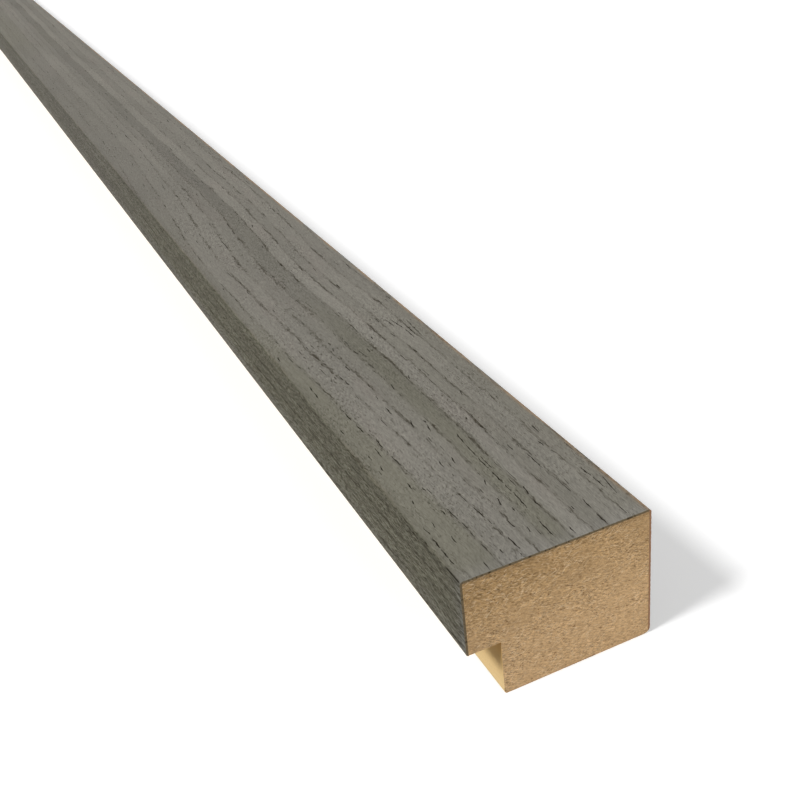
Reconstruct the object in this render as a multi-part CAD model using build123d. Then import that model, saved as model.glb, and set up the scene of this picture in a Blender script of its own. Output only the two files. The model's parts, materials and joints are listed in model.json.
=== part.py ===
"""End trim for a slatted acoustic wall panel: a rebated MDF moulding with a wood veneer folded over it.

Millimetres. X runs across the face, with the rebate on the -X side. Y runs along the length.
Z runs from the wall side to the face. The origin is on the wall side, in the middle of the
overall width and of the length.
"""

import os

from build123d import *

# Stock size
LENGTH = 2400.0  # the length that such trim is sold in
FACE_WIDTH = 28.0  # across the veneered face, veneer included
SLAT_DEPTH = 12.0  # the lip over the rebate, level with the panel's slats
FELT_DEPTH = 9.0  # the rebate's depth, equal to the panel's felt backing
REBATE_WIDTH = 5.0  # how far the lip reaches over the felt

# Veneer
VENEER_THICKNESS = 0.3
FOLD_RADIUS = 0.2  # the core's two face arrises, which the veneer is folded over

# Eased arrises of the finished moulding
LIP_RADIUS = 0.25  # lower edge of the lip
HEEL_RADIUS = 1.0  # outer edge on the wall side, eased through the veneer
TOE_RADIUS = 0.4  # the foot's edge on the rebate side

# Where the section's faces lie
DEPTH = FELT_DEPTH + SLAT_DEPTH
LIP_SIDE = -FACE_WIDTH / 2
OUTER_SIDE = FACE_WIDTH / 2
FOOT_SIDE = LIP_SIDE + REBATE_WIDTH


def eased(face, arrises):
    """Rounds the corners of a flat face. arrises holds a ((x, y), radius) pair for each one."""
    for corner, radius in arrises:
        nearest = face.vertices().sort_by_distance(corner)[0]
        face = fillet(nearest, radius)
    return face


def finished_section():
    """The whole outline, veneer included: the face, a lip over the rebate and the foot at the wall."""
    outline = Polyline(
        (LIP_SIDE, DEPTH),
        (LIP_SIDE, FELT_DEPTH),
        (FOOT_SIDE, FELT_DEPTH),
        (FOOT_SIDE, 0),
        (OUTER_SIDE, 0),
        (OUTER_SIDE, DEPTH),
        close=True,
    )
    face_radius = FOLD_RADIUS + VENEER_THICKNESS
    return eased(
        make_face(outline),
        [
            ((LIP_SIDE, DEPTH), face_radius),
            ((OUTER_SIDE, DEPTH), face_radius),
            ((LIP_SIDE, FELT_DEPTH), LIP_RADIUS),
            ((FOOT_SIDE, 0), TOE_RADIUS),
            ((OUTER_SIDE, 0), HEEL_RADIUS),
        ],
    )


def inside_veneer():
    """All that lies within the veneer's inner faces: it covers the lip's side, the face and the outer side."""
    inner_width = FACE_WIDTH - 2 * VENEER_THICKNESS
    inner_depth = DEPTH - VENEER_THICKNESS
    room = Pos(0, inner_depth / 2) * Rectangle(inner_width, inner_depth)
    return eased(
        room,
        [
            ((-inner_width / 2, inner_depth), FOLD_RADIUS),
            ((inner_width / 2, inner_depth), FOLD_RADIUS),
        ],
    )


def moulding(section):
    """A section swept along the whole length, evenly either side of the origin."""
    return extrude(Plane.XZ * section, amount=LENGTH / 2, both=True)


def main():
    whole = finished_section()
    core_section = whole & inside_veneer()
    pieces = {
        "mdf_core": moulding(core_section),
        "veneer_wrap": moulding(whole - core_section),
    }
    os.makedirs("parts", exist_ok=True)
    for name, piece in pieces.items():
        piece.label = name
        export_step(piece, f"parts/{name}.step")


main()
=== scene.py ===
"""Looks for the acoustic panel end trim: an open-pored grey veneer folded over a rebated MDF moulding.

Shapes are laid out in millimetres in the part's own frame and made in metres. X runs across the face,
with the rebate on the -X side. Y runs along the length and Z from the wall side to the face.
On the veneer, "across" is the developed width: it is X on the face, and it runs on round both folds.
"Along" is the distance from the near end, which is the one at -Y.
"""
import json
import math
from dataclasses import dataclass

import bpy
import numpy as np
from mathutils import Matrix, Vector
from mathutils.geometry import delaunay_2d_cdt


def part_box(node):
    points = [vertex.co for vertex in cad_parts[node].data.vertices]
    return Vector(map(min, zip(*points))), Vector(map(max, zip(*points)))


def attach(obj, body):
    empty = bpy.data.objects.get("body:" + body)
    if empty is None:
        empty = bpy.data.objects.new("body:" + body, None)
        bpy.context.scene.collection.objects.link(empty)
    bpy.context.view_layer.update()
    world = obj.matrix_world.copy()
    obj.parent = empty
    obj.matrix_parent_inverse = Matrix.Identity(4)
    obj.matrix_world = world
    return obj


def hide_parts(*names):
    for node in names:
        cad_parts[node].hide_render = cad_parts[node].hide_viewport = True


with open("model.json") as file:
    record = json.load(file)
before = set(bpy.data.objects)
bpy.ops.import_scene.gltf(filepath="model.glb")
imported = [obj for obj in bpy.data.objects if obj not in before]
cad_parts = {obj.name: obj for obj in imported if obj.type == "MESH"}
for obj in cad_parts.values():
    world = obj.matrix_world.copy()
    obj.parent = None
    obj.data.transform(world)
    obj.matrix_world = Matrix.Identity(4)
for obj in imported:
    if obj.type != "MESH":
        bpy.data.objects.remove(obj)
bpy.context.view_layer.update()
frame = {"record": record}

MM = 0.001
SEED = 7

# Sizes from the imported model
core_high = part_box("mdf_core")[1] / MM
veneer_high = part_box("veneer_wrap")[1] / MM
mounts = {mount["name"]: Vector(mount["pos_m"]) / MM for mount in frame["record"]["mounts"]}
HALF_LENGTH = round(veneer_high.y, 3)
HALF_WIDTH = round(veneer_high.x, 3)
DEPTH = round(veneer_high.z, 3)
VENEER = round(veneer_high.x - core_high.x, 3)
FELT_DEPTH = round(mounts["felt_ledge"].z, 3)
FOOT_SIDE = round(mounts["felt_stop"].x, 3)
LENGTH = 2 * HALF_LENGTH

# Eased arrises, as on the solids
FOLD_RADIUS = 0.2
LIP_RADIUS = 0.25
HEEL_RADIUS = 1.0
TOE_RADIUS = 0.4
FACE_RADIUS = FOLD_RADIUS + VENEER

# Where the section's lines meet
FOLD_X = HALF_WIDTH - FACE_RADIUS
FOLD_Z = DEPTH - FACE_RADIUS
INNER_X = HALF_WIDTH - VENEER
HEEL_CENTRE = (HALF_WIDTH - HEEL_RADIUS, HEEL_RADIUS)
HEEL_TURN = math.degrees(math.acos(1 - VENEER / HEEL_RADIUS))  # how far round the heel the veneer reaches
VENEER_FOOT = HEEL_RADIUS * (1 - math.sin(math.radians(HEEL_TURN)))  # the veneer's lowest line

# How finely the meshes are divided
BEND_STEPS = 7
ROWS = 3  # the length lies in this many rows on the colour map
SIDE_STEP = 20.0  # along a fold
END_STEP = 0.3  # round a cut end
WELD = 0.002
SHARP_TURN = 35.0  # degrees between two faces that shade apart

# What the saw left at the cut ends
RAGGED = 0.05  # unevenness of the veneer's edge
SAW_WAVES = ((7.3, 0.0), (13.1, 1.0), (23.7, 2.0))  # its sines: radians for each millimetre, phase
SAWN_RECESS = 0.05  # of the core behind the veneer's edge, which leaves room for its raised fibres


class Wire:
    """A value in a node tree that takes part in arithmetic, so one formula serves nodes and numbers."""

    def __init__(self, tree, socket):
        self.tree = tree
        self.socket = socket

    def math(self, operation, *others, clamp=False):
        return math_node(self.tree, operation, self, *others, clamp=clamp)

    def __add__(self, other):
        return self.math("ADD", other)

    def __sub__(self, other):
        return self.math("SUBTRACT", other)

    def __mul__(self, other):
        return self.math("MULTIPLY", other)

    def __truediv__(self, other):
        return self.math("DIVIDE", other)

    def __radd__(self, other):
        return math_node(self.tree, "ADD", other, self)

    def __rsub__(self, other):
        return math_node(self.tree, "SUBTRACT", other, self)

    def __rmul__(self, other):
        return math_node(self.tree, "MULTIPLY", other, self)


def plug(tree, socket, value):
    """Feeds a socket with a wire or sets it to a constant."""
    if isinstance(value, Wire):
        tree.links.new(value.socket, socket)
    else:
        socket.default_value = value


def math_node(tree, operation, *values, clamp=False):
    node = tree.nodes.new("ShaderNodeMath")
    node.operation = operation
    node.use_clamp = clamp
    for socket, value in zip(node.inputs, values):
        plug(tree, socket, value)
    return Wire(tree, node.outputs[0])


def sine(value):
    return value.math("SINE") if isinstance(value, Wire) else np.sin(value)


def bell(value):
    """One at zero, falling away smoothly on both sides."""
    fall = value * value * -1.0
    return fall.math("EXPONENT") if isinstance(value, Wire) else np.exp(fall)


def ease(value):
    """Rises smoothly from zero to one as the value does."""
    if isinstance(value, Wire):
        held = value.math("ADD", 0.0, clamp=True)
    else:
        held = np.clip(value, 0.0, 1.0)
    return held * held * (3.0 - 2.0 * held)


# The veneer's grain

# Growth rings on the face at the near end: place across and strength of the dark line, then the share
# of olive and the lightness of the band beyond it
FACE_RINGS = (
    (-14.6, 0.50, 1.00, 0.93),
    (-12.3, 0.45, 1.00, 0.94),
    (-7.9, 0.55, 0.05, 1.02),
    (-4.8, 0.85, 0.00, 1.02),
    (-2.7, 0.80, 0.20, 0.96),
    (-0.6, 0.70, 1.00, 0.86),
    (2.35, 0.95, 0.05, 1.06),
    (5.15, 0.95, 0.30, 0.96),
    (7.5, 0.75, 0.15, 1.03),
    (10.7, 0.70, 0.35, 0.98),
    (13.4, 0.50, 0.30, 1.01),
)
RING_REACH = (-33.0, 42.0)  # rings go on this far to either side
RING_SPACING = (1.9, 3.2)
GROWN_LINES = (0.45, 0.9)  # what chance may give those rings: line, lightness, and olive on either side
GROWN_LIGHTS = (0.96, 1.03)
LIP_OLIVES = (0.75, 1.0)
OUTER_OLIVES = (0.1, 0.7)

# How the rings leave their place at the near end: bows, as place along, reach and height on the left
# and on the right, and then slow waves, as height, length and phase
BOWS = (
    (36.0, 26.0, 1.0, 0.0),
    (114.0, 80.0, 5.5, 0.0),
    (105.0, 22.0, 0.2, 1.5),
    (760.0, 190.0, -3.0, -0.9),
    (1480.0, 140.0, 3.6, 0.7),
    (2040.0, 110.0, -2.4, -1.0),
)
BOW_LEFT = -11.0  # where a bow has its height on the left
BOW_RIGHT = 2.5  # and on the right
WAVES = ((1.2, 1300.0, 1.2), (0.3, 373.0, 1.6), (0.14, 61.0, 0.7), (0.08, 23.0, 1.9))
TRACE_ROUNDS = 20  # for following the grain back, and the share of the error that each round takes off
TRACE_SHARE = 0.9


@dataclass
class Ring:
    place: float
    line: float
    olive: float
    light: float


def grown_rings():
    """The rings on the face and, drawn by chance, those on the two sides."""
    rng = np.random.default_rng(SEED)
    rings = [Ring(*row) for row in FACE_RINGS]
    lip_side = (-1, FACE_RINGS[0][0], RING_REACH[0], LIP_OLIVES)
    outer_side = (1, FACE_RINGS[-1][0], RING_REACH[1], OUTER_OLIVES)
    for way, place, reach, olives in (lip_side, outer_side):
        while way * place < way * reach:
            place += way * rng.uniform(*RING_SPACING)
            olive = rng.uniform(*olives)
            rings.append(Ring(place, rng.uniform(*GROWN_LINES), olive, rng.uniform(*GROWN_LIGHTS)))
    return sorted(rings, key=lambda ring: ring.place)


RINGS = grown_rings()
RING_PLACES = np.array([ring.place for ring in RINGS])


def growth(across, along):
    """The place across the near end that the grain leads back to from a point of the veneer."""
    leftness = ease((BOW_RIGHT - across) / (BOW_RIGHT - BOW_LEFT))
    shift = 0.0
    for place, reach, left, right in BOWS:
        swell = bell((along - place) / reach) - float(bell(-place / reach))
        shift = shift + swell * (right + (left - right) * leftness)
    for height, length, phase in WAVES:
        shift = shift + height * (sine(along * (2 * math.pi / length) + phase) - math.sin(phase))
    return across + shift


def across_at(place, along):
    """Where the grain that starts at a place across the near end lies at some distances along."""
    across = np.full_like(along, place)
    for _ in range(TRACE_ROUNDS):
        across = across + TRACE_SHARE * (place - growth(across, along))
    return across


# Fine relief on flats

SLIVER_BLUNTNESS = 0.4  # power of the sine that gives a sliver's width: the smaller, the blunter its tips
SLIVER_WOBBLE = 0.4  # of its width, from station to station
SLIVER_WANDER = 0.2  # of its middle line, in widths
SAME_PLACE = 1e-6  # points closer than this are one


@dataclass
class Sliver:
    """A thin lens on a flat: a groove where its spine is sunk, a ridge where it stands up."""

    start: tuple  # its first tip
    run: tuple  # from there to its last tip
    bow: float  # how far its middle stands off the straight line
    width: float
    height: float  # of the spine over the flat
    tone: float  # how strongly the spine is coloured
    step: float  # between its stations

    def length(self):
        return math.hypot(*self.run)

    def sideways(self):
        return np.array([-self.run[1], self.run[0]]) / self.length()

    def middle(self, shares):
        """Points on its middle line."""
        shares = np.asarray(shares, float)[:, None]
        off = self.sideways() * (4 * self.bow * shares * (1 - shares))
        return np.array(self.start) + np.array(self.run) * shares + off

    def box(self):
        """Its lowest and highest places."""
        line = self.middle(np.linspace(0, 1, 5))
        pad = np.abs(self.sideways()) * self.width / 2
        return np.concatenate([line.min(0) - pad, line.max(0) + pad])

    def laid_out(self):
        """Its rim in order and its spine, as rows of place, height, tone, share of the length and side."""
        count = max(2, round(self.length() / self.step))
        stations = np.arange(count)
        shares = 0.5 - 0.5 * np.cos(np.pi * (stations + 0.5) / count)
        wobble = 1.0 + SLIVER_WOBBLE * np.sin(2.4 * stations + 7.0 * self.start[0])
        swell = np.sin(np.pi * shares) ** SLIVER_BLUNTNESS * wobble
        wander = SLIVER_WANDER * self.width * np.sin(2.0 * stations + 5.0 * self.start[1])
        middle = self.middle(shares) + self.sideways() * wander[:, None]
        reach = self.sideways() * (self.width / 2 * swell)[:, None]
        tips = self.middle([0.0, 1.0])
        right = [(*p, 0.0, 0.0, s, 0.0) for p, s in zip(middle - reach, shares)]
        left = [(*p, 0.0, 0.0, s, 1.0) for p, s in zip(middle + reach, shares)]
        spine = [(*p, self.height * w, self.tone, s, 0.5) for p, w, s in zip(middle, swell, shares)]
        rim = [(*tips[0], 0.0, 0.0, 0.0, 0.5), *right, (*tips[1], 0.0, 0.0, 1.0, 0.5), *left[::-1]]
        return rim, spine


class Crowd:
    """Slivers on one flat that keep clear of each other."""

    def __init__(self, gap, cell):
        self.gap = gap
        self.cell = cell
        self.slivers = []
        self.boxes = {}

    def cells(self, box):
        low = np.floor((box[:2] - self.gap) / self.cell).astype(int)
        high = np.floor((box[2:] + self.gap) / self.cell).astype(int)
        return [(i, j) for i in range(low[0], high[0] + 1) for j in range(low[1], high[1] + 1)]

    def clear(self, box):
        for cell in self.cells(box):
            for other in self.boxes.get(cell, ()):
                if np.all(box[:2] < other[2:] + self.gap) and np.all(box[2:] > other[:2] - self.gap):
                    return False
        return True

    def add(self, sliver):
        """Takes a sliver in, if there is room for it."""
        box = sliver.box()
        if self.clear(box):
            self.slivers.append(sliver)
            for cell in self.cells(box):
                self.boxes.setdefault(cell, []).append(box)


def relief(loop, slivers):
    """Triangles over the room inside a loop, with slivers in it.

    Each row of the table has a point's place, height, tone, share of a sliver's length and side of it.
    """
    rows = [(u, v, 0.0, 0.0, 0.0, 0.0) for u, v in loop]
    edges = [(i, (i + 1) % len(loop)) for i in range(len(loop))]
    for sliver in slivers:
        rim, spine = sliver.laid_out()
        base = len(rows)
        tip = base + len(spine) + 1
        first = base + len(rim)
        edges += [(base + i, base + (i + 1) % len(rim)) for i in range(len(rim))]
        chain = [base, *range(first, first + len(spine)), tip]
        edges += zip(chain[:-1], chain[1:])
        rows += rim + spine
    places = [Vector(row[:2]) for row in rows]
    _, _, triangles, origins, _, _ = delaunay_2d_cdt(places, edges, [], 0, SAME_PLACE)
    table = np.array(rows)[[origin[0] for origin in origins]]
    return table, np.array(triangles)


class Collector:
    """Gathers the patches of one mesh, each with its places on the colour map, and welds them."""

    def __init__(self):
        self.points = []
        self.facts = []
        self.map = []
        self.faces = []
        self.kinds = []
        self.count = 0

    def add(self, kind, points, facts, places, faces):
        """Adds a patch: points, three facts for each point, places on the map, and faces of one kind."""
        self.points.append(np.asarray(points, float))
        self.facts.append(np.asarray(facts, float))
        self.map.append(np.asarray(places, float))
        self.faces += [tuple(int(i) + self.count for i in face) for face in faces]
        self.kinds += [kind] * len(faces)
        self.count += len(points)

    def to_object(self, name, materials, smooth):
        """Makes the object. materials gives each kind of face its material, smooth names some kinds."""
        points = np.concatenate(self.points)
        keys = np.round(points / WELD).astype(np.int64)
        _, first, place = np.unique(keys, axis=0, return_index=True, return_inverse=True)
        place = place.ravel()
        faces = []
        kinds = []
        corners = []
        for face, kind in zip(self.faces, self.kinds):
            kept = {}
            for corner in face:
                kept.setdefault(int(place[corner]), corner)
            if len(kept) > 2:
                faces.append(list(kept))
                kinds.append(kind)
                corners += kept.values()
        data = bpy.data.meshes.new(name)
        data.from_pydata((points[first] * MM).tolist(), [], faces)
        grain = data.attributes.new("grain", "FLOAT_VECTOR", "POINT")
        grain.data.foreach_set("vector", np.concatenate(self.facts)[first].astype(np.float32).ravel())
        layer = data.uv_layers.new(name="OFBake")
        layer.data.foreach_set("uv", np.concatenate(self.map)[corners].astype(np.float32).ravel())
        order = list(dict.fromkeys(materials.values()))
        for material in order:
            data.materials.append(material)
        data.polygons.foreach_set("material_index", [order.index(materials[kind]) for kind in kinds])
        data.polygons.foreach_set("use_smooth", [kind in smooth for kind in kinds])
        data.update()
        data.set_sharp_from_angle(angle=math.radians(SHARP_TURN))
        thing = bpy.data.objects.new(name, data)
        bpy.context.scene.collection.objects.link(thing)
        return thing


# The section

@dataclass
class Stretch:
    """A flat or a bend in a section's outline: its stations in X and Z and their places across."""

    name: str
    points: np.ndarray
    flat: bool
    across: np.ndarray = None

    def at(self, across):
        """Points on a flat at these places across."""
        share = (across - self.across[0]) / (self.across[1] - self.across[0])
        return self.points[0] + (self.points[1] - self.points[0]) * share[:, None]

    def outward(self):
        """A flat's normal, which lies to the left of its run."""
        run = (self.points[1] - self.points[0]) / (self.across[1] - self.across[0])
        return np.array([-run[1], run[0]])

    def end_stations(self):
        """Places across at a cut end."""
        if not self.flat:
            return self.across
        low, high = self.across
        return np.linspace(low, high, max(2, round((high - low) / END_STEP)) + 1)

    def end_points(self):
        return self.at(self.end_stations()) if self.flat else self.points


def flat(name, start, stop):
    return Stretch(name, np.array([start, stop], float), True)


def bend(name, centre, radius, start, stop):
    """An arc between two angles in degrees."""
    angles = np.radians(np.linspace(start, stop, BEND_STEPS + 1))
    return Stretch(name, np.array(centre) + radius * np.stack([np.cos(angles), np.sin(angles)], 1), False)


def developed(stretches, datum):
    """Sets the places across, counted from the middle of the stretch that datum names."""
    place = 0.0
    for stretch in stretches:
        steps = np.linalg.norm(np.diff(stretch.points, axis=0), axis=1)
        stretch.across = place + np.concatenate([[0.0], np.cumsum(steps)])
        place = stretch.across[-1]
    middle = next(s.across[[0, -1]].mean() for s in stretches if s.name == datum)
    for stretch in stretches:
        stretch.across = stretch.across - middle
    return stretches


def veneer_outline():
    """The veneer's outer side, from under the lip, over the face and down to the heel."""
    lip_x = HALF_WIDTH - LIP_RADIUS
    lip_z = FELT_DEPTH + LIP_RADIUS
    return developed([
        flat("lip_foot", (-INNER_X, FELT_DEPTH), (-lip_x, FELT_DEPTH)),
        bend("lip_bend", (-lip_x, lip_z), LIP_RADIUS, 270, 180),
        flat("lip_side", (-HALF_WIDTH, lip_z), (-HALF_WIDTH, FOLD_Z)),
        bend("lip_fold", (-FOLD_X, FOLD_Z), FACE_RADIUS, 180, 90),
        flat("face", (-FOLD_X, DEPTH), (FOLD_X, DEPTH)),
        bend("outer_fold", (FOLD_X, FOLD_Z), FACE_RADIUS, 90, 0),
        flat("outer_side", (HALF_WIDTH, FOLD_Z), (HALF_WIDTH, HEEL_RADIUS)),
        bend("heel", HEEL_CENTRE, HEEL_RADIUS, 0, -HEEL_TURN),
    ], "face")


def core_outline():
    """The core all round: its glued sides first, then the wall side and the rebate."""
    toe_x = FOOT_SIDE + TOE_RADIUS
    return developed([
        flat("lip_glued", (-INNER_X, FELT_DEPTH), (-INNER_X, FOLD_Z)),
        bend("lip_fold", (-FOLD_X, FOLD_Z), FOLD_RADIUS, 180, 90),
        flat("face_glued", (-FOLD_X, DEPTH - VENEER), (FOLD_X, DEPTH - VENEER)),
        bend("outer_fold", (FOLD_X, FOLD_Z), FOLD_RADIUS, 90, 0),
        flat("outer_glued", (INNER_X, FOLD_Z), (INNER_X, VENEER_FOOT)),
        bend("heel", HEEL_CENTRE, HEEL_RADIUS, -HEEL_TURN, -90),
        flat("wall_side", (HEEL_CENTRE[0], 0), (toe_x, 0)),
        bend("toe", (toe_x, TOE_RADIUS), TOE_RADIUS, 270, 180),
        flat("rebate_wall", (FOOT_SIDE, TOE_RADIUS), (FOOT_SIDE, FELT_DEPTH)),
        flat("rebate_ledge", (FOOT_SIDE, FELT_DEPTH), (-INNER_X, FELT_DEPTH)),
    ], "face_glued")


SKIN_LOW = veneer_outline()[0].across[0]
SKIN_HIGH = veneer_outline()[-1].across[-1]


def behind(point):
    """The point of the veneer's glued side that lies behind a point of its outer side."""
    x, z = point
    side = math.copysign(1.0, x)
    if z >= DEPTH - WELD and abs(x) <= FOLD_X:
        return (x, DEPTH - VENEER)
    if z > FOLD_Z:
        way = Vector((abs(x) - FOLD_X, z - FOLD_Z)).normalized() * FOLD_RADIUS
        return (side * (FOLD_X + way.x), FOLD_Z + way.y)
    return (side * INNER_X, z)


def whole(stretches, take):
    """What take gives for each stretch, joined into one run without repeating where they meet."""
    runs = [take(stretch) for stretch in stretches]
    return np.concatenate([runs[0][:1], *(run[1:] for run in runs)])


def to_y(along):
    return along - HALF_LENGTH


def section_points(section, y):
    """Points from X and Z in the section and from Y."""
    return np.stack([section[:, 0], np.broadcast_to(y, len(section)), section[:, 1]], 1)


def grid_faces(rows, columns):
    """Quads between rows of points."""
    return [
        (r * columns + c, r * columns + c + 1, (r + 1) * columns + c + 1, (r + 1) * columns + c)
        for r in range(rows - 1)
        for c in range(columns - 1)
    ]


def bridge(low, high):
    """Triangles between two rows of places, the low row's points coming before the high row's."""
    faces = []
    i = 0
    j = 0
    count = len(low)
    while i < len(low) - 1 or j < len(high) - 1:
        if j == len(high) - 1 or (i < len(low) - 1 and low[i + 1] <= high[j + 1]):
            faces.append((i, i + 1, count + j))
            i += 1
        else:
            faces.append((i, count + j + 1, count + j))
            j += 1
    return faces


def flipped(faces):
    return [face[::-1] for face in faces]


def rows_along():
    """Where each row of the length starts and stops."""
    marks = np.linspace(0, LENGTH, ROWS + 1)
    return list(zip(marks[:-1], marks[1:]))


def stations_along(start, stop):
    """Places along for the points of a long side."""
    return np.linspace(start, stop, round((stop - start) / SIDE_STEP) + 1)


def plain_facts(across, along):
    """The facts of points that no sliver colours."""
    return np.stack([across, along, np.zeros_like(along)], 1)


# The veneer

# Pores that stand out near the photographed end: along, across, length, rise across over the length
# and width
NOTED_PORES = (
    (3.5, -12.95, 1.3, 0.02, 0.24), (5.0, -12.92, 2.1, -0.02, 0.21), (7.3, -12.92, 2.4, 0.04, 0.23),
    (10.5, -12.72, 1.9, -0.20, 0.15), (17.8, -11.62, 1.0, 0.08, 0.19), (7.2, -10.72, 1.7, 0.12, 0.19),
    (21.1, -10.33, 1.8, 0.02, 0.21), (13.2, -9.20, 1.2, 0.16, 0.20), (11.5, -8.22, 3.2, -0.18, 0.15),
    (19.8, -8.96, 1.1, -0.04, 0.21), (2.2, -6.70, 1.0, 0.10, 0.22), (1.8, -4.48, 3.0, -0.10, 0.22),
    (10.0, -5.08, 2.9, -0.16, 0.19), (6.0, -2.78, 2.0, -0.18, 0.18), (23.7, -4.22, 1.7, 0.06, 0.22),
    (4.1, -1.60, 1.3, 0.16, 0.18), (11.1, -1.92, 1.9, 0.40, 0.22), (16.4, -1.30, 1.5, 0.38, 0.18),
    (23.6, -2.42, 1.8, 0.28, 0.22), (1.9, 0.44, 3.7, 0.06, 0.22), (8.8, 0.66, 4.2, 0.28, 0.18),
    (15.5, 0.86, 3.6, 0.06, 0.21), (19.8, 0.90, 3.2, 0.02, 0.20), (11.3, 2.42, 2.2, 0.36, 0.21),
    (0.8, 3.02, 1.7, 0.08, 0.18), (5.3, 5.72, 0.9, -0.06, 0.20), (22.0, 6.14, 1.8, -0.04, 0.18),
    (0.3, 7.50, 2.7, 0.04, 0.17), (4.2, 7.64, 2.5, 0.16, 0.21), (15.8, 7.24, 4.6, 0.04, 0.17),
    (20.5, 10.36, 1.7, -0.06, 0.23), (7.3, 11.76, 2.9, 0.00, 0.21), (10.5, 11.74, 2.6, -0.16, 0.21),
    (39.8, -12.88, 1.8, 0.00, 0.19), (27.5, -11.92, 1.5, 0.16, 0.19), (31.1, -12.18, 1.4, 0.04, 0.19),
    (27.3, -9.14, 3.2, -0.20, 0.22), (33.0, -9.48, 3.0, 0.12, 0.21), (38.7, -10.14, 2.7, -0.14, 0.22),
    (43.0, -10.38, 2.9, 0.00, 0.22), (41.2, -4.36, 2.5, 0.04, 0.25), (46.8, -4.20, 1.1, 0.00, 0.21),
    (35.7, -3.24, 2.3, 0.54, 0.21), (33.2, -1.54, 2.3, 0.42, 0.19), (27.4, 1.12, 3.1, 0.24, 0.22),
    (40.2, 7.42, 1.6, 0.36, 0.20), (52.5, -12.20, 2.2, 0.06, 0.21), (55.1, -12.14, 2.1, 0.04, 0.21),
    (68.5, -13.24, 2.0, 0.24, 0.22), (53.8, -6.34, 1.6, -0.12, 0.25), (55.8, -6.58, 1.8, 0.02, 0.22),
    (58.2, -4.38, 2.1, 0.02, 0.25), (66.5, -4.00, 1.3, 0.30, 0.20), (49.8, 2.72, 1.4, 0.40, 0.20),
    (66.8, 3.60, 1.3, 0.06, 0.25), (63.2, 9.90, 3.8, 0.00, 0.20), (67.2, 9.86, 5.0, -0.54, 0.20),
    (66.6, 9.06, 2.3, -0.26, 0.18), (69.1, 8.76, 3.4, -0.20, 0.20), (63.2, 10.54, 6.0, 0.10, 0.20),
    (62.3, 11.20, 8.0, 0.45, 0.15), (11.5, -11.55, 1.4, 0.14, 0.15), (13.2, 0.82, 2.0, 0.03, 0.14),
    (23.3, 0.98, 3.8, 0.12, 0.15), (0.3, -9.65, 1.8, 0.06, 0.15),
    (15.0, -2.53, 1.3, 0.04, 0.16), (20.7, -4.02, 0.9, -0.02, 0.16), (9.1, -1.00, 1.0, 0.06, 0.19),
    (19.5, 1.36, 3.5, 0.02, 0.15), (8.3, 2.28, 1.9, 0.00, 0.17), (14.0, 2.00, 2.3, 0.02, 0.14),
    (31.0, -10.62, 2.8, 0.14, 0.18), (35.9, -1.02, 1.0, 0.04, 0.22), (46.2, -10.38, 0.8, 0.04, 0.22),
    (11.6, -14.85, 6.2, 0.00, 0.28), (43.6, -14.60, 1.9, 0.05, 0.20),
    (12.0, -18.70, 3.7, 0.00, 0.17), (9.3, -20.80, 3.9, 0.00, 0.16), (15.7, -22.20, 6.0, 0.10, 0.17),
)
PORES_PER_MM2 = 0.08
RING_SHARE = 0.75  # of the pores, that lie in a ring's line
RING_SPREAD = 0.16  # how far they lie off it
PORE_STEP = 1.7  # between stations of a pore, and of a noted one
NOTED_STEP = 0.4
PORE_CELL = 4.0
PORE_GAP = 0.14  # the least wood between two pores
PORE_DEPTH = 0.5  # of its width

# Lengths and widths that chance may give: the least and the most, then the logarithm's middle and spread
PORE_LENGTHS = (0.6, 6.0)
PORE_LENGTH_DRAW = (0.5, 0.6)
PORE_WIDTHS = (0.1, 0.36)
PORE_WIDTH_DRAW = (-1.75, 0.32)
PORE_TONES = (0.45, 1.0)
RING_LEAN = (0.0, 0.015)  # slope off the grain, middle and spread, in a ring's line and elsewhere
FREE_LEAN = (0.05, 0.06)
PORE_BOW = 0.015  # of its length, usually
NOTED_SWELL = 1.1  # a noted pore is cut this many times as wide as noted


def noted_pore(along, across, length, rise, width):
    height = -PORE_DEPTH * width
    return Sliver((across, along), (rise, length), 0.0, NOTED_SWELL * width, height, 1.0, NOTED_STEP)


def chance_pores(rng, stretch, start, stop):
    """Pores drawn by chance on this length of a flat, many of them in the line of a ring."""
    low, high = stretch.across
    count = int((high - low) * (stop - start) * PORES_PER_MM2)
    length = np.clip(rng.lognormal(*PORE_LENGTH_DRAW, count), *PORE_LENGTHS)
    along = start + END_STEP + rng.random(count) * (stop - start - length - 2 * END_STEP)
    width = np.clip(rng.lognormal(*PORE_WIDTH_DRAW, count), *PORE_WIDTHS)
    place = growth(rng.uniform(low, high, count), along)
    nearest = np.abs(RING_PLACES - place[:, None]).argmin(1)
    on_ring = rng.random(count) < RING_SHARE
    place = np.where(on_ring, RING_PLACES[nearest] + rng.normal(0.0, RING_SPREAD, count), place)
    lean = np.where(on_ring, rng.normal(*RING_LEAN, count), rng.normal(*FREE_LEAN, count))
    across = across_at(place, along)
    rise = across_at(place, along + length) - across + lean * length
    bow = rng.normal(0.0, PORE_BOW, count) * length
    tone = rng.uniform(*PORE_TONES, count)
    height = -PORE_DEPTH * width
    starts = zip(across, along)
    runs = zip(rise, length)
    return [Sliver(*row, PORE_STEP) for row in zip(starts, runs, bow, width, height, tone)]


def pores_on(rng, stretch, start, stop):
    """The pores on one row of a flat. The noted ones come first."""
    low, high = stretch.across
    crowd = Crowd(PORE_GAP, PORE_CELL)
    for row in NOTED_PORES:
        if start <= row[0] < stop and low < row[1] < high:
            crowd.add(noted_pore(*row))
    for pore in chance_pores(rng, stretch, start, stop):
        box = pore.box()
        if low + PORE_GAP < box[0] and box[2] < high - PORE_GAP:
            crowd.add(pore)
    return crowd.slivers


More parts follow.
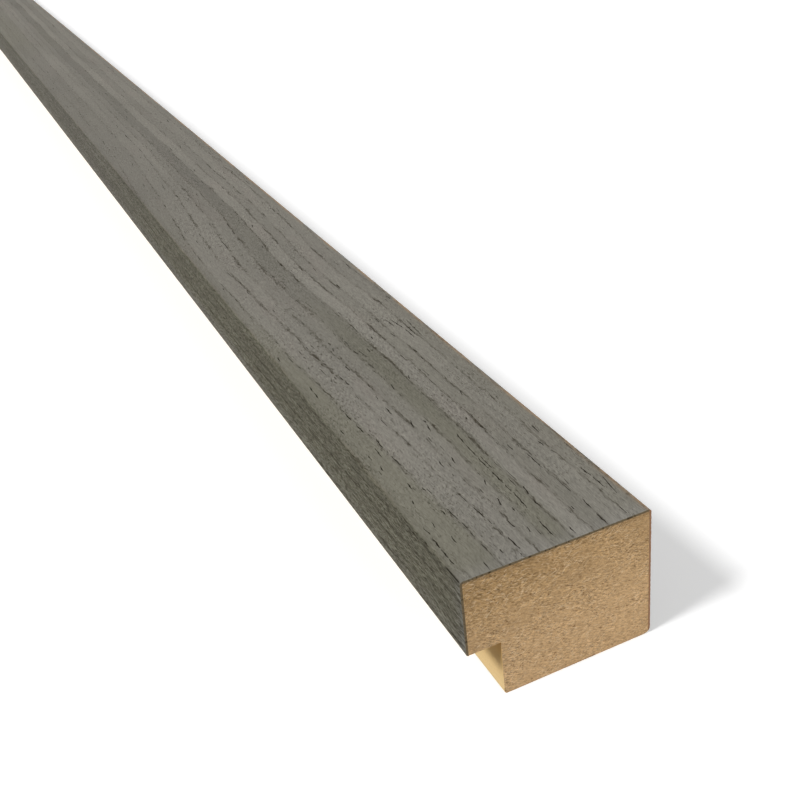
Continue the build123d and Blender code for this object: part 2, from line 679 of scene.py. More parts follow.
def ragged(across, along):
    """How far the saw broke the veneer's edge back at a cut end. It is nothing elsewhere."""
    rough = sum(np.sin(across * often + phase) for often, phase in SAW_WAVES)
    hem = np.clip(np.minimum(across - SKIN_LOW, SKIN_HIGH - across) / END_STEP, 0.0, 1.0)
    cut = np.minimum(along, LENGTH - along) < WELD
    inward = np.where(along < HALF_LENGTH, 1.0, -1.0)
    return np.where(cut, inward * RAGGED * hem * np.clip(0.5 + 0.3 * rough, 0.0, 1.0), 0.0)


# The veneer's colour map: rows of the skin, with small patches for the rest above them
SKIN_TOP = 0.94
PORE_PATCH = ((0.01, 0.955), (0.05, 0.99))
EDGE_PATCHES = (((0.07, 0.955), (0.45, 0.965)), ((0.07, 0.975), (0.45, 0.985)))
BACK_PATCH = ((0.5, 0.955), (0.98, 0.99))
MAP_GAP = 0.003
ROW_FILL = 1 - 10 * MAP_GAP  # of a row's height


def patch(corners, u, v):
    """Places in a patch of the map for shares of its width and height."""
    low, high = np.array(corners)
    return low + np.stack([u, v], 1) * (high - low)


def skin_map(row, start, across, along):
    """Places on the map for points of one row of the veneer's skin."""
    share = (across - SKIN_LOW) / (SKIN_HIGH - SKIN_LOW)
    u = MAP_GAP + (along - start) / (LENGTH / ROWS) * (1 - 2 * MAP_GAP)
    v = (row + MAP_GAP + share * ROW_FILL) / ROWS * SKIN_TOP
    return np.stack([u, v], 1)


def add_skin_flat(mesh, stretch, row, start, stop, pores):
    """One row of a flat of the veneer, with its pores cut into it."""
    low, high = stretch.across
    sides = stations_along(start, stop)
    inner = stretch.end_stations()[1:-1]
    near = inner if start < WELD else inner[:0]
    far = inner[::-1] if stop > LENGTH - WELD else inner[:0]
    loop = [(a, start) for a in near] + [(high, y) for y in sides]
    loop += [(a, stop) for a in far] + [(low, y) for y in sides[::-1]]
    table, triangles = relief(loop, pores)
    across, along, height, tone, share, side = table.T
    section = stretch.at(across) + stretch.outward() * height[:, None]
    points = section_points(section, to_y(along) + ragged(across, along))
    facts = np.stack([across, along, tone], 1)
    cut = (height[triangles] < 0).any(1)
    mesh.add("skin", points, facts, skin_map(row, start, across, along), triangles[~cut])
    mesh.add("pore", points, facts, patch(PORE_PATCH, share, side), triangles[cut])


def add_skin_bend(mesh, stretch, row, start, stop):
    """One row of a bend of the veneer."""
    sides = stations_along(start, stop)
    across = np.tile(stretch.across, len(sides))
    along = np.repeat(sides, len(stretch.across))
    section = np.tile(stretch.points, (len(sides), 1))
    points = section_points(section, to_y(along) + ragged(across, along))
    places = skin_map(row, start, across, along)
    faces = grid_faces(len(sides), len(stretch.across))
    mesh.add("bend", points, plain_facts(across, along), places, faces)


def add_veneer_edges(mesh, stretches):
    """The veneer's cut edges at the two ends."""
    across = whole(stretches, Stretch.end_stations)
    outer = whole(stretches, Stretch.end_points)
    inner = np.array([behind(point) for point in outer])
    share = (across - across[0]) / (across[-1] - across[0])
    for along, corners in zip((0.0, LENGTH), EDGE_PATCHES):
        reach = np.full_like(across, along)
        rim = section_points(outer, to_y(reach) + ragged(across, reach))
        back = section_points(inner, to_y(reach))
        facts = np.stack([np.tile(across, 2), np.tile(reach, 2), np.repeat([1.0, 0.0], len(across))], 1)
        places = patch(corners, np.tile(share, 2), np.repeat([1.0, 0.0], len(across)))
        faces = grid_faces(2, len(across))
        mesh.add("edge", np.concatenate([rim, back]), facts, places, faces if along > 0 else flipped(faces))


def add_veneer_back(mesh, stretches):
    """The veneer's glued side: fine at the two ends and coarse between them."""
    fine = whole(stretches, Stretch.end_stations)
    ends = np.array([behind(point) for point in whole(stretches, Stretch.end_points)])
    folds = [stretch for stretch in stretches if stretch.name.endswith("fold")]
    coarse = np.concatenate([fine[:1], *(fold.across for fold in folds), fine[-1:]])
    section = np.concatenate([
        ends[:1], *([behind(point) for point in fold.points] for fold in folds), ends[-1:],
    ])

    def add(across, along, points, faces):
        u = (across - fine[0]) / (fine[-1] - fine[0])
        mesh.add("back", points, plain_facts(across, along), patch(BACK_PATCH, u, along / LENGTH), faces)

    middle = stations_along(0.0, LENGTH)[1:-1]
    across = np.tile(coarse, len(middle))
    along = np.repeat(middle, len(coarse))
    points = section_points(np.tile(section, (len(middle), 1)), to_y(along))
    add(across, along, points, flipped(grid_faces(len(middle), len(coarse))))
    for end, beside in ((0.0, middle[0]), (LENGTH, middle[-1])):
        across = np.concatenate([fine, coarse])
        along = np.repeat([end, beside], [len(fine), len(coarse)])
        points = section_points(np.concatenate([ends, section]), to_y(along))
        faces = bridge(fine, coarse)
        add(across, along, points, faces if end > 0 else flipped(faces))


def make_veneer(materials):
    mesh = Collector()
    rng = np.random.default_rng(SEED)
    stretches = veneer_outline()
    for stretch in stretches:
        for row, (start, stop) in enumerate(rows_along()):
            if stretch.flat:
                pores = pores_on(rng, stretch, start, stop)
                add_skin_flat(mesh, stretch, row, start, stop, pores)
            else:
                add_skin_bend(mesh, stretch, row, start, stop)
    add_veneer_edges(mesh, stretches)
    add_veneer_back(mesh, stretches)
    return mesh.to_object("veneer_open_pored", materials, {"bend"})


# The core

FIBRES_PER_MM2 = 3.4
FIBRE_LENGTHS = (0.25, 1.3)  # drawn as the pores' are
FIBRE_LENGTH_DRAW = (-0.75, 0.4)
FIBRE_WIDTHS = (0.07, 0.2)
FIBRE_WIDTH_DRAW = (-2.2, 0.25)
FIBRE_BOW = 0.06  # of its length, usually
FIBRE_LEAN = 22.0  # degrees off the board's plane, usually
FIBRE_HEIGHT = 0.18  # of its width
PITS_PER_MM2 = 0.16
PIT_LENGTHS = (0.25, 0.6)
PIT_WIDTHS = (0.18, 0.36)
PIT_DEPTH = 0.14
PIT_SHARES = (0.4, 1.0)  # of that depth, and of the darkest tone
FIBRE_STEP = 0.5
FIBRE_GAP = 0.03
FIBRE_CELL = 1.0
END_MARGIN = 0.12  # bare wood along the outline

# The core's colour map: the two sawn ends, rows of the machined sides, and a strip for the glued sides
END_PATCHES = (((0.01, 0.01), (0.49, 0.37)), ((0.51, 0.01), (0.99, 0.37)))
MACHINED_ROWS = (0.39, 0.93)
GLUED_PATCH = ((0.01, 0.95), (0.99, 0.99))
MACHINED = ("heel", "wall_side", "toe", "rebate_wall", "rebate_ledge")


def chance_sliver(rng, pit):
    """A raised fibre or a pit somewhere on a sawn end."""
    length = float(np.clip(rng.lognormal(*FIBRE_LENGTH_DRAW), *FIBRE_LENGTHS))
    width = float(np.clip(rng.lognormal(*FIBRE_WIDTH_DRAW), *FIBRE_WIDTHS))
    height = FIBRE_HEIGHT * width
    tone = rng.uniform(0.0, 1.0) ** 2
    if pit:
        length = rng.uniform(*PIT_LENGTHS)
        width = rng.uniform(*PIT_WIDTHS)
        height = -PIT_DEPTH * rng.uniform(*PIT_SHARES)
        tone = -rng.uniform(*PIT_SHARES)
    angle = math.radians(rng.normal(0.0, FIBRE_LEAN))
    run = (length * math.cos(angle), length * math.sin(angle))
    start = (rng.uniform(-INNER_X, INNER_X), rng.uniform(0.0, DEPTH - VENEER))
    return Sliver(start, run, rng.normal(0.0, FIBRE_BOW) * length, width, height, tone, FIBRE_STEP)


def inside_core(box):
    """Whether a box lies well inside the core's section."""
    x0, z0, x1, z1 = box
    low = FELT_DEPTH if x0 < FOOT_SIDE + END_MARGIN else 0.0
    side = END_MARGIN + FOLD_RADIUS * (z1 > FOLD_Z) + HEEL_RADIUS * (z0 < HEEL_RADIUS)
    return (
        x0 > -INNER_X + END_MARGIN
        and x1 < INNER_X - side
        and z0 > low + END_MARGIN + TOE_RADIUS * (x0 < FOOT_SIDE + TOE_RADIUS)
        and z1 < DEPTH - VENEER - END_MARGIN
    )


def end_slivers(rng):
    """Fibres and pits of one sawn end."""
    area = 2 * INNER_X * (DEPTH - VENEER)
    crowd = Crowd(FIBRE_GAP, FIBRE_CELL)
    for count, pit in ((area * PITS_PER_MM2, True), (area * FIBRES_PER_MM2, False)):
        for _ in range(int(count)):
            sliver = chance_sliver(rng, pit)
            if inside_core(sliver.box()):
                crowd.add(sliver)
    return crowd.slivers


def add_sawn_end(mesh, outline, slivers, along, corners):
    """A sawn end of the core, with its raised fibres and pits."""
    table, triangles = relief(outline[::-1], slivers)
    x, z, height, tone, _, _ = table.T
    centre = table[triangles, :2].mean(1)
    rebate = (centre[:, 0] < FOOT_SIDE) & (centre[:, 1] < FELT_DEPTH)
    outward = -1.0 if along < HALF_LENGTH else 1.0
    y = to_y(along) + outward * (height - SAWN_RECESS)
    points = section_points(np.stack([x, z], 1), y)
    facts = np.stack([x, z, tone], 1)
    places = patch(corners, (x + HALF_WIDTH) / (2 * HALF_WIDTH), z / DEPTH)
    faces = triangles[~rebate]
    mesh.add("sawn", points, facts, places, faces if outward < 0 else flipped(faces))


def add_core_side(mesh, stretch, span):
    """One stretch of the core's sides over the whole length. span is where its kind lies across."""
    across = stretch.end_stations()
    section = stretch.end_points()
    machined = stretch.name in MACHINED
    low, high = span[machined]
    share = (across - low) / (high - low)
    for row, (start, stop) in enumerate(rows_along()):
        along = np.repeat([start, stop], len(across))
        inset = np.where(along < WELD, SAWN_RECESS, 0.0) - np.where(along > LENGTH - WELD, SAWN_RECESS, 0.0)
        points = section_points(np.tile(section, (2, 1)), to_y(along) + inset)
        facts = plain_facts(np.tile(across, 2), along)
        u = np.repeat([MAP_GAP, 1 - MAP_GAP], len(across))
        v = (row + MAP_GAP + np.tile(share, 2) * ROW_FILL) / ROWS
        places = np.stack([u, MACHINED_ROWS[0] + v * (MACHINED_ROWS[1] - MACHINED_ROWS[0])], 1)
        if not machined:
            places = patch(GLUED_PATCH, along / LENGTH, np.tile(share, 2))
        mesh.add("machined" if machined else "glued", points, facts, places, grid_faces(2, len(across)))


def make_core(materials):
    mesh = Collector()
    rng = np.random.default_rng(SEED)
    stretches = core_outline()
    span = {}
    for machined in (False, True):
        mine = [stretch.across for stretch in stretches if (stretch.name in MACHINED) == machined]
        span[machined] = (mine[0][0], mine[-1][-1])
    for stretch in stretches:
        add_core_side(mesh, stretch, span)
    outline = whole(stretches, Stretch.end_points)[:-1]
    for along, corners in zip((0.0, LENGTH), END_PATCHES):
        add_sawn_end(mesh, outline, end_slivers(rng), along, corners)
    return mesh.to_object("mdf_moulding", materials, set())


# Materials, in linear colours

VENEER_GREY = (0.204, 0.193, 0.167)
VENEER_ROSE = (0.209, 0.193, 0.168)
VENEER_OLIVE = (0.193, 0.184, 0.147)
LIP_OLIVE = (0.200, 0.192, 0.144)
VENEER_DARK = (0.042, 0.035, 0.023)  # in the rings' lines
VENEER_DUSTY = (0.245, 0.232, 0.208)  # with sawdust, close to a cut
PORE_DARK = (0.018, 0.015, 0.010)
VENEER_WORN = (0.40, 0.25, 0.13)  # along the folds
EDGE_BROWN = (0.138, 0.106, 0.064)
EDGE_DARK = (0.050, 0.036, 0.020)
EDGE_WARM = (0.350, 0.185, 0.105)  # on the outer side
GLUE_PALE = (0.46, 0.38, 0.26)
MDF_SAWN = (0.508, 0.333, 0.173)
MDF_SAWN_HIGH = (0.375, 0.240, 0.112)  # next to the face
MDF_DARK = (0.185, 0.098, 0.038)
MDF_FIBRE = (0.80, 0.61, 0.40)
MDF_MACHINED = (0.88, 0.65, 0.33)
MDF_MACHINED_DARK = (0.64, 0.42, 0.18)
# painted shade, warm, for the rebate's inner corner under the lip
MDF_CORNER_SHADE = (0.68, 0.39, 0.12)

# Where the veneer's looks change, across and along
LINE_WIDTH = 0.5  # of the flecks along a ring, and of the thin seam in them
SEAM_WIDTH = 0.32
BAND_EDGE = 0.45  # how softly a band changes in lightness, and in hue
OLIVE_EDGE = 0.9
BAND_RISE = (10.0, 70.0)  # along, over which the bands' lightness gains in strength, from and to
BAND_STRENGTHS = (0.85, 1.25)
FAR = (120.0, 240.0)  # along, over which the rings grow fainter and the wood between them darker
FAR_LINES = 0.45
FAR_LIGHT = 0.95
OLIVE_END = 110.0  # the olive bands pale over the last stretch before here
OLIVE_FADE = 55.0
LIP_OLIVE_END = 260.0  # the lip's olive pales from there to here
DUST_REACH = 2.0
FOLD_MIDDLE = FOLD_X + FACE_RADIUS * math.pi / 4  # a fold's middle across
FOLD_PAINTED_SHADE = 0.16  # painted shade: the veneer is darker by this share at the lip's fold
FOLD_PAINTED_SHADE_REACH = 0.7
LIP_PAINTED_SHADE = 0.130  # and by this painted shade on the lip's side, except low down, where a painted reflection of the floor lifts it
LIP_LOW = -25.0
LIP_LOW_REACH = 3.5
LIP_WEAR = 0.03  # how much colour is rubbed off along the two folds
OUTER_WEAR = 0.9
FOLD_CRACKS = ((0.1, 4.3), (9.0, 10.5))  # where the lip's fold is split, from and to along
CRACK_TAPERS = (0.5, 1.0)  # over which a crack opens and closes
CRACK_PLACE = 0.12  # beyond the fold's middle
CRACK_WIDTH = 0.13
CRACK_JAG = 0.1

# Patterns: grains for each millimetre across and along, which of many patterns, and how finely it goes on.
# A cut is where a pattern starts to show and where it shows in full
WAVER = (0.12, 0.03, 1, 2.0)
JAG = (0.35, 0.33, 9, 3.0)
FUZZ = (1.6, 1.1, 16, 2.0)
BREAKS = (0.5, 0.16, 12, 4.0)
BREAK_CUT = (-0.20, 0.30)
BREAK_SHARES = (0.32, 1.0)
OLIVE_PATCHES = (0.03, 0.006, 3, 2.0)
ROSE_PATCHES = (0.25, 0.05, 11, 3.0)
ROSE_CUT = (0.0, 0.45)
MOTTLE = (0.22, 0.02, 4, 2.0)
STREAK = (2.2, 0.035, 5, 3.0)
SIDE_STREAK = (1.6, 0.20, 14, 4.0)
FIBRE = (9.0, 0.45, 6, 3.0)
RESTLESS = (0.3, 0.05, 15, 3.0)
RESTLESS_CUT = (-0.15, 0.30)
RESTLESS_SHARES = (0.35, 1.0)
THREAD = (5.0, 0.30, 2, 4.0)
THREAD_CUT = (0.20, 0.46)
FLECK = (6.0, 0.8, 7, 3.0)
FLECK_CUT = (0.20, 0.40)
DASH = (6.0, 1.2, 13, 2.0)
DASH_CUT = (0.19, 0.35)
DASH_LEAN = -4.0  # degrees off the grain
SPECKLE = (3.0, 0.9, 10, 4.0)
SPECKLE_LEAN = -24.0
WEAR = (0.8, 0.12, 8, 4.0)
WEAR_CUT = (-0.30, 0.25)
EDGE_GRAIN = (2.5, 1.5, 1, 4.0)
EDGE_CUT = (0.05, 0.30)
GLUE_BLOTCH = (0.3, 0.05, 1, 3.0)
GLUE_CUT = (-0.3, 0.3)
SAWN_CLOUD = (0.12, 0.16, 1, 2.0)
SAWN_LAYERS = (0.8, 2.4, 2, 3.0)
SAWN_LEAN = -18.0
SAWN_SPECKLE = (1.5, 3.8, 3, 3.0)
SAWN_GRIT = (4.0, 7.5, 5, 2.0)
SAWN_ROUGH = (0.22, 0.28, 9, 2.0)
SAWN_ROUGH_CUT = (-0.22, 0.22)
SAWN_DARK = (2.0, 4.0, 4, 3.0)
SAWN_DARK_CUT = (0.22, 0.40)
STRAND_FINE = (0.8, 7.5)
STRAND_CUT = (0.27, 0.36)
STRAND_WAYS = ((6, 14.0), (7, -24.0), (8, 48.0))  # patterns of pale strands and the degrees that they lie at
FACE_DARKENING_REACH = 0.7  # the sawn end is darker this close to the face's veneer
SAWN_LOW = 5.0  # and it gets darker from here up to the face
MACHINED_CLOUD = (0.15, 0.04, 1, 2.0)
MACHINED_STREAK = (3.0, 0.08, 2, 3.0)
MACHINED_SPECKLE = (4.0, 2.5, 3, 3.0)
MACHINED_FLECK = (3.0, 1.1, 4, 3.0)
MACHINED_CUT = (0.2, 0.6)
# how far the painted shade reaches from the rebate's inner corner
CORNER_SHADE_REACH = 5.0
LAYER_STEP = 7.3  # between two patterns in the noise


def new_material(name, gloss):
    """A material and its shader. gloss is the strength of its mirror reflection."""
    material = bpy.data.materials.new(name)
    material.use_nodes = True
    tree = material.node_tree
    shader = tree.nodes["Principled BSDF"]
    shader.inputs["Specular IOR Level"].default_value = gloss
    return material, tree, shader


def facts_of(tree):
    """The three facts that each point of a mesh carries."""
    attribute = tree.nodes.new("ShaderNodeAttribute")
    attribute.attribute_name = "grain"
    split = tree.nodes.new("ShaderNodeSeparateXYZ")
    tree.links.new(attribute.outputs["Vector"], split.inputs[0])
    return [Wire(tree, output) for output in split.outputs]


def place_of(tree):
    """X, Y and Z in millimetres."""
    coordinates = tree.nodes.new("ShaderNodeTexCoord")
    split = tree.nodes.new("ShaderNodeSeparateXYZ")
    tree.links.new(coordinates.outputs["Object"], split.inputs[0])
    return [Wire(tree, output) * (1 / MM) for output in split.outputs]


def noise(u, v, fine_u, fine_v, layer, detail):
    """Smooth noise about zero, with these many grains for each millimetre. layer picks the pattern."""
    tree = u.tree
    join = tree.nodes.new("ShaderNodeCombineXYZ")
    plug(tree, join.inputs[0], u * fine_u)
    plug(tree, join.inputs[1], v * fine_v)
    plug(tree, join.inputs[2], layer * LAYER_STEP)
    texture = tree.nodes.new("ShaderNodeTexNoise")
    texture.inputs["Scale"].default_value = 1.0
    texture.inputs["Detail"].default_value = detail
    tree.links.new(join.outputs[0], texture.inputs["Vector"])
    return Wire(tree, texture.outputs["Fac"]) * 2.0 - 1.0


def turned(u, v, degrees):
    """The same place on axes that are turned by this angle."""
    lean = math.radians(degrees)
    return u * math.cos(lean) + v * math.sin(lean), v * math.cos(lean) - u * math.sin(lean)


def between(value, low, high, start, stop):
    """Eases from start to stop as the value goes from low to high."""
    node = value.tree.nodes.new("ShaderNodeMapRange")
    node.interpolation_type = "SMOOTHSTEP"
    for socket, number in zip(node.inputs, (value, low, high, start, stop)):
        plug(value.tree, socket, number)
    return Wire(value.tree, node.outputs[0])


def over(value, cut):
    """Eases from nothing to one as the value passes the cut's two numbers."""
    return between(value, *cut, 0.0, 1.0)


def mixed(share, first, second):
    """A colour between two others, each a wire or a linear colour."""
    tree = share.tree
    node = tree.nodes.new("ShaderNodeMix")
    node.data_type = "RGBA"
    tree.links.new(share.socket, node.inputs["Factor"])
    sockets = [socket for socket in node.inputs if socket.type == "RGBA"]
    for socket, colour in zip(sockets, (first, second)):
        plug(tree, socket, colour if isinstance(colour, Wire) else (*colour, 1.0))
    return Wire(tree, next(socket for socket in node.outputs if socket.type == "RGBA"))


def shaded(colour, light):
    """A colour made lighter or darker."""
    tree = light.tree
    node = tree.nodes.new("ShaderNodeVectorMath")
    node.operation = "SCALE"
    plug(tree, node.inputs[0], colour)
    plug(tree, node.inputs["Scale"], light)
    return Wire(tree, node.outputs[0])


def finish(tree, shader, colour, roughness, height, depth):
    """Feeds the shader. height is a bump of this depth in millimetres."""
    plug(tree, shader.inputs["Base Color"], colour)
    plug(tree, shader.inputs["Roughness"], roughness)
    bump = tree.nodes.new("ShaderNodeBump")
    bump.inputs["Strength"].default_value = 1.0
    bump.inputs["Distance"].default_value = depth * MM
    plug(tree, bump.inputs["Height"], height)
    tree.links.new(bump.outputs[0], shader.inputs["Normal"])


def from_cut(along):
    """The distance from the nearer cut end."""
    return along.math("MINIMUM", LENGTH - along)


def ring_lines(place, along):
    """The dark lines along the rings and the thin seams in them."""
    line = 0.0
    seam = 0.0
    for ring in RINGS[1:]:
        off = (place - ring.place).math("ABSOLUTE")
        line = line + between(off, 0.0, LINE_WIDTH, ring.line, 0.0)
        seam = seam + between(off, 0.0, SEAM_WIDTH, ring.line, 0.0)
    broken = between(noise(place, along, *BREAKS), *BREAK_CUT, *BREAK_SHARES)
    broken = broken * between(along, *FAR, 1.0, FAR_LINES)
    return line * broken, seam * broken


def ring_bands(place, across, along):
    """The share of olive and the lightness of the bands between the rings."""
    olive = RINGS[0].olive
    light = RINGS[0].light
    for before, ring in zip(RINGS, RINGS[1:]):
        off = place - ring.place
        olive = olive + between(off, -OLIVE_EDGE, OLIVE_EDGE, 0.0, ring.olive - before.olive)
        light = light + between(off, -BAND_EDGE, BAND_EDGE, 0.0, ring.light - before.light)
    light = 1.0 + (light - 1.0) * between(along, *BAND_RISE, *BAND_STRENGTHS)
    light = light * between(along, *FAR, 1.0, FAR_LIGHT)
    patches = ease(1.6 * noise(across, along, *OLIVE_PATCHES) + 0.2)
    near = ease((OLIVE_END - along) / OLIVE_FADE)
    return olive * near.math("MAXIMUM", patches * 0.7), light


def dark_marks(place, along, line, lip, restless):
    """Dark threads, flecks and dashes, most of them in the rings' lines and on the lip."""
    busy = (0.72 * restless + 0.8 * line).math("MAXIMUM", lip).math("MINIMUM", 1.0)
    lively = restless.math("MAXIMUM", lip)
    thread = noise(place, along, *THREAD) + 0.28 * line + 0.12 * lip
    fleck = noise(place, along, *FLECK) + 0.32 * line + 0.23 * lip
    dash = noise(*turned(place, along, DASH_LEAN), *DASH)
    return over(thread, THREAD_CUT) * busy, over(fleck, FLECK_CUT) * busy, over(dash, DASH_CUT) * lively


def wood_colour(across, along, olive, lip, low):
    """The veneer's hue before light, wear and marks, with a painted reflection of the floor that greys the
    lip low down.
    """
    rose = between(noise(across, along, *ROSE_PATCHES), *ROSE_CUT, 0.0, 0.8)
    colour = mixed(rose, VENEER_GREY, VENEER_ROSE)
    colour = mixed(olive, colour, VENEER_OLIVE)
    # Less olive low on the lip: the grey there is a painted reflection of the floor
    lip_olive = lip * (1.0 - 0.8 * low) * between(along, OLIVE_END, LIP_OLIVE_END, 1.0, 0.35)
    colour = mixed(lip_olive, colour, LIP_OLIVE)
    return mixed(0.5 * bell(from_cut(along) / DUST_REACH), colour, VENEER_DUSTY)


def fold_wear(across, along):
    """Where the colour is rubbed off along the folds, the outer one above all."""
    wear = bell((across.math("ABSOLUTE") - FOLD_MIDDLE) / FACE_RADIUS)
    wear = wear * over(noise(across, along, *WEAR), WEAR_CUT)
    return wear * between(across, -1.0, 1.0, LIP_WEAR, OUTER_WEAR)


def fold_crack(across, along, jag):
    """The splits along the lip's fold."""
    crack = 0.0
    for start, stop in FOLD_CRACKS:
        opening = between(along, start, start + CRACK_TAPERS[0], 0.0, 1.0)
        closing = between(along, stop - CRACK_TAPERS[1], stop, 1.0, 0.0)
        crack = crack + opening * closing
    return crack * bell((across + FOLD_MIDDLE + CRACK_PLACE + CRACK_JAG * jag) / CRACK_WIDTH)


def veneer_material():
    """Grey open-pored wood. The factors are how strongly each pattern shows."""
    material, tree, shader = new_material("grey_open_pored_veneer", 0.02)
    across, along, pore = facts_of(tree)
    jag = noise(across, along, *JAG)
    place = growth(across, along) + 0.15 * noise(across, along, *WAVER) + 0.30 * jag
    place = place + 0.20 * noise(across, along, *FUZZ)
    line, seam = ring_lines(place, along)
    olive, light = ring_bands(place, across, along)
    lip = ease(0.5 - (across + FOLD_MIDDLE) / FACE_RADIUS)
    # low is the lip's lowest part, which gets a painted reflection of the floor
    low = between(across, LIP_LOW, LIP_LOW + LIP_LOW_REACH, 1.0, 0.0)
    restless = between(noise(place, along, *RESTLESS), *RESTLESS_CUT, *RESTLESS_SHARES)
    thread, fleck, dash = dark_marks(place, along, line, lip, restless)

    mottle = noise(across, along, *MOTTLE)
    streak = noise(place, along, *STREAK)
    side_streak = noise(place, along, *SIDE_STREAK)
    fibre = noise(place, along, *FIBRE)
    speckle = noise(*turned(across, along, SPECKLE_LEAN), *SPECKLE)
    light = light * (1.0 + 0.16 * mottle + 0.10 * streak + 0.44 * fibre + restless * 0.56 * speckle)
    # Painted shade on the lip's side, less of it low down, where the painted reflection of the floor lifts
    # it
    light = light * (1.0 - lip * (LIP_PAINTED_SHADE - 0.20 * low - 0.54 * side_streak))
    # Painted shade along the lip's fold, which the side lamp would otherwise light brightly
    light = light * (1.0 - FOLD_PAINTED_SHADE * bell((across + FOLD_MIDDLE) / FOLD_PAINTED_SHADE_REACH))

    colour = shaded(wood_colour(across, along, olive, lip, low), light)
    colour = mixed(fold_wear(across, along), colour, VENEER_WORN)
    for mark in (seam * (0.42 - 0.16 * lip), thread * 0.60, fleck * 0.72, dash * 0.72):
        colour = mixed(mark, colour, VENEER_DARK)
    deep = (pore * 1.8 + fold_crack(across, along, jag)).math("ADD", 0.0, clamp=True)
    colour = mixed(deep, colour, PORE_DARK)
    roughness = 0.66 + 0.10 * streak + 0.08 * fibre + 0.2 * deep
    height = 0.5 * fibre + 0.4 * streak - 0.8 * fleck - 0.6 * thread - 0.6 * dash
    finish(tree, shader, colour, roughness, height, 0.03)
    return material


def veneer_edge_material():
    """The veneer's cut edge, dark with glue and saw heat."""
    material, tree, shader = new_material("veneer_cut_edge", 0.04)
    across, _, depth = facts_of(tree)
    grain = noise(across, depth, *EDGE_GRAIN)
    colour = mixed(over(grain, EDGE_CUT), EDGE_BROWN, EDGE_DARK)
    colour = mixed(between(across, FOLD_X, FOLD_MIDDLE, 0.0, 0.8), colour, EDGE_WARM)
    finish(tree, shader, colour, 0.8 + 0.1 * grain, grain, 0.02)
    return material


def glued_material():
    """The faces that core and veneer are glued together by, with dried glue on them."""
    material, tree, shader = new_material("dried_glue", 0.1)
    across, along, _ = facts_of(tree)
    blotch = noise(across, along, *GLUE_BLOTCH)
    colour = mixed(over(blotch, GLUE_CUT), GLUE_PALE, MDF_SAWN)
    finish(tree, shader, colour, 0.7 + 0.1 * blotch, blotch, 0.02)
    return material


def sawn_material():
    """The sawn end of the core: pressed fibres, pale and dark, in layers along the board's plane."""
    material, tree, shader = new_material("mdf_sawn_end", 0.03)
    x, _, z = place_of(tree)
    _, _, tone = facts_of(tree)
    leaning = turned(x, z, SAWN_LEAN)
    layers = noise(x, z, *SAWN_LAYERS)
    speckle = noise(*leaning, *SAWN_SPECKLE)
    grit = noise(x, z, *SAWN_GRIT)
    rough = between(noise(x, z, *SAWN_ROUGH), *SAWN_ROUGH_CUT, 0.55, 1.0)
    light = 1.0 + between(x, -INNER_X, INNER_X, -0.02, 0.04) + 0.12 * noise(x, z, *SAWN_CLOUD)
    light = light + 0.26 * layers + rough * (0.78 * speckle + 0.82 * grit)
    light = light - 0.20 * bell((z - (DEPTH - VENEER)) / FACE_DARKENING_REACH)
    high = between(z, SAWN_LOW, DEPTH, 0.0, 1.0) * between(x, -INNER_X, INNER_X, 1.1, 0.65)
    colour = shaded(mixed(high, MDF_SAWN, MDF_SAWN_HIGH), light)
    dark = between(noise(*leaning, *SAWN_DARK), *SAWN_DARK_CUT, 0.0, 0.9)
    colour = mixed(dark * rough, colour, MDF_DARK)
    for layer, lean in STRAND_WAYS:
        strand = noise(*turned(x, z, lean), *STRAND_FINE, layer, 2.0)
        colour = mixed(between(strand, *STRAND_CUT, 0.0, 0.6) * rough, colour, MDF_FIBRE)
    pale = tone.math("MAXIMUM", 0.0)
    pit = (tone * -1.0).math("MAXIMUM", 0.0)
    colour = mixed(pale * 0.9, colour, MDF_FIBRE)
    colour = mixed(pit * 0.9, colour, MDF_DARK)
    finish(tree, shader, colour, 0.85 + 0.1 * layers, speckle + 0.5 * grit, 0.05)
    return material


def machined_material():
    """The core's machined faces: paler and smoother than its ends, with painted shade in the rebate's
    corner.
    """
    material, tree, shader = new_material("mdf_machined_face", 0.04)
    across, along, _ = facts_of(tree)
    cloud = noise(across, along, *MACHINED_CLOUD)
    streak = noise(across, along, *MACHINED_STREAK)
    speckle = noise(across, along, *MACHINED_SPECKLE)
    colour = shaded(MDF_MACHINED, 1.0 + 0.10 * cloud + 0.08 * streak + 0.10 * speckle)
    dark = between(noise(across, along, *MACHINED_FLECK), *MACHINED_CUT, 0.0, 0.5)
    colour = mixed(dark, colour, MDF_MACHINED_DARK)
    # Painted shade in the rebate's inner corner, under the lip
    corner_across = core_outline()[-1].across[0]
    corner = bell((across - corner_across) / CORNER_SHADE_REACH)
    colour = mixed(corner * 0.75, colour, MDF_CORNER_SHADE)
    finish(tree, shader, colour, 0.8 + 0.1 * speckle, streak + speckle, 0.02)
    return material


# The stage

WHITE = (1.0, 1.0, 1.0, 1.0)
FLOOR_SIZE = 30.0
FLOOR_DROP = 0.00005
FLOOR_WHITE = 1.0
FLOOR_GLOW = 0.22  # lifts the floor to white where it is seen
FLOOR_BOUNCE = 0.32  # the floor's whiteness in the light that it throws back
SKY_LIGHT = 0.27

# Lamps: light on a surface that faces them, bearing from +Y towards +X, height over the floor and spread
SIDE_LIGHT = (0.80, 268.0, 46.7, 16.0)
FRONT_LIGHT = (0.60, 160.0, 18.0, 40.0)

# The camera: its place, where it looks in degrees from +Y towards +X and down from level, its roll and lens
CAMERA_PLACE = (-0.05565, -1.29426, 0.10623)
CAMERA_BEARING = 21.336
CAMERA_DROP = 29.777
CAMERA_ROLL = 6.85
CAMERA_LENS = 48.991
CAMERA_NEAREST = 0.01


def is_camera_or_mirror(tree):
    """One for rays that see the stage directly, in gloss or through glass."""
    path = tree.nodes.new("ShaderNodeLightPath")
    seen = Wire(tree, path.outputs["Is Camera Ray"])
    for name in ("Is Glossy Ray", "Is Transmission Ray"):
        seen = seen.math("MAXIMUM", Wire(tree, path.outputs[name]))
    return seen


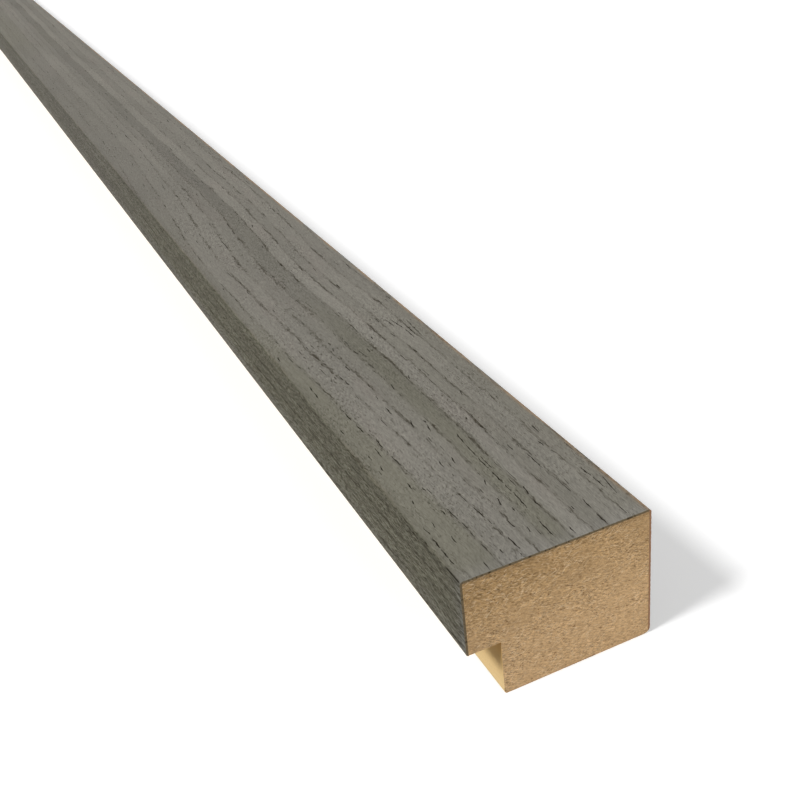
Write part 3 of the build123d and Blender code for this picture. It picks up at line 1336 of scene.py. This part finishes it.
def make_floor():
    half = FLOOR_SIZE / 2
    corners = [(-half, -half), (half, -half), (half, half), (-half, half)]
    data = bpy.data.meshes.new("floor")
    data.from_pydata([(x, y, -FLOOR_DROP) for x, y in corners], [], [(0, 1, 2, 3)])
    floor = bpy.data.objects.new("floor", data)
    bpy.context.scene.collection.objects.link(floor)
    material, tree, shader = new_material("floor_white", 0.0)
    seen = is_camera_or_mirror(tree)
    plug(tree, shader.inputs["Base Color"], FLOOR_BOUNCE + (FLOOR_WHITE - FLOOR_BOUNCE) * seen)
    shader.inputs["Emission Color"].default_value = WHITE
    plug(tree, shader.inputs["Emission Strength"], FLOOR_GLOW * seen)
    shader.inputs["Roughness"].default_value = 1.0
    data.materials.append(material)


def make_world():
    world = bpy.data.worlds.new("studio")
    world.use_nodes = True
    tree = world.node_tree
    background = tree.nodes["Background"]
    background.inputs["Color"].default_value = WHITE
    plug(tree, background.inputs["Strength"], SKY_LIGHT + (1.0 - SKY_LIGHT) * is_camera_or_mirror(tree))
    bpy.context.scene.world = world


def make_lamp(name, level, bearing, height, spread):
    lamp = bpy.data.lights.new(name, "SUN")
    lamp.energy = level * math.pi
    lamp.angle = math.radians(spread)
    thing = bpy.data.objects.new(name, lamp)
    turn = Matrix.Rotation(math.radians(-bearing), 4, "Z")
    tilt = Matrix.Rotation(math.radians(height - 90), 4, "X")
    thing.matrix_world = turn @ tilt
    bpy.context.scene.collection.objects.link(thing)


def make_camera():
    data = bpy.data.cameras.new("camera")
    data.lens = CAMERA_LENS
    data.clip_start = CAMERA_NEAREST
    camera = bpy.data.objects.new("camera", data)
    bearing = Matrix.Rotation(math.radians(-CAMERA_BEARING), 4, "Z")
    drop = Matrix.Rotation(math.radians(90 - CAMERA_DROP), 4, "X")
    roll = Matrix.Rotation(math.radians(-CAMERA_ROLL), 4, "Z")
    camera.matrix_world = Matrix.Translation(CAMERA_PLACE) @ bearing @ drop @ roll
    bpy.context.scene.collection.objects.link(camera)
    bpy.context.scene.camera = camera


skin = veneer_material()
glue = glued_material()
cut_edge = veneer_edge_material()
veneer = make_veneer({"skin": skin, "pore": skin, "bend": skin, "edge": cut_edge, "back": glue})
core = make_core({"sawn": sawn_material(), "machined": machined_material(), "glued": glue})
for piece, node, slot in ((veneer, "veneer_wrap", "grey_veneer"), (core, "mdf_core", "raw_mdf")):
    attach(piece, "root")
    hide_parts(node)

make_floor()
make_world()
make_lamp("side_light", *SIDE_LIGHT)
make_lamp("front_light", *FRONT_LIGHT)
make_camera()
bpy.context.scene.view_settings.view_transform = "Standard"
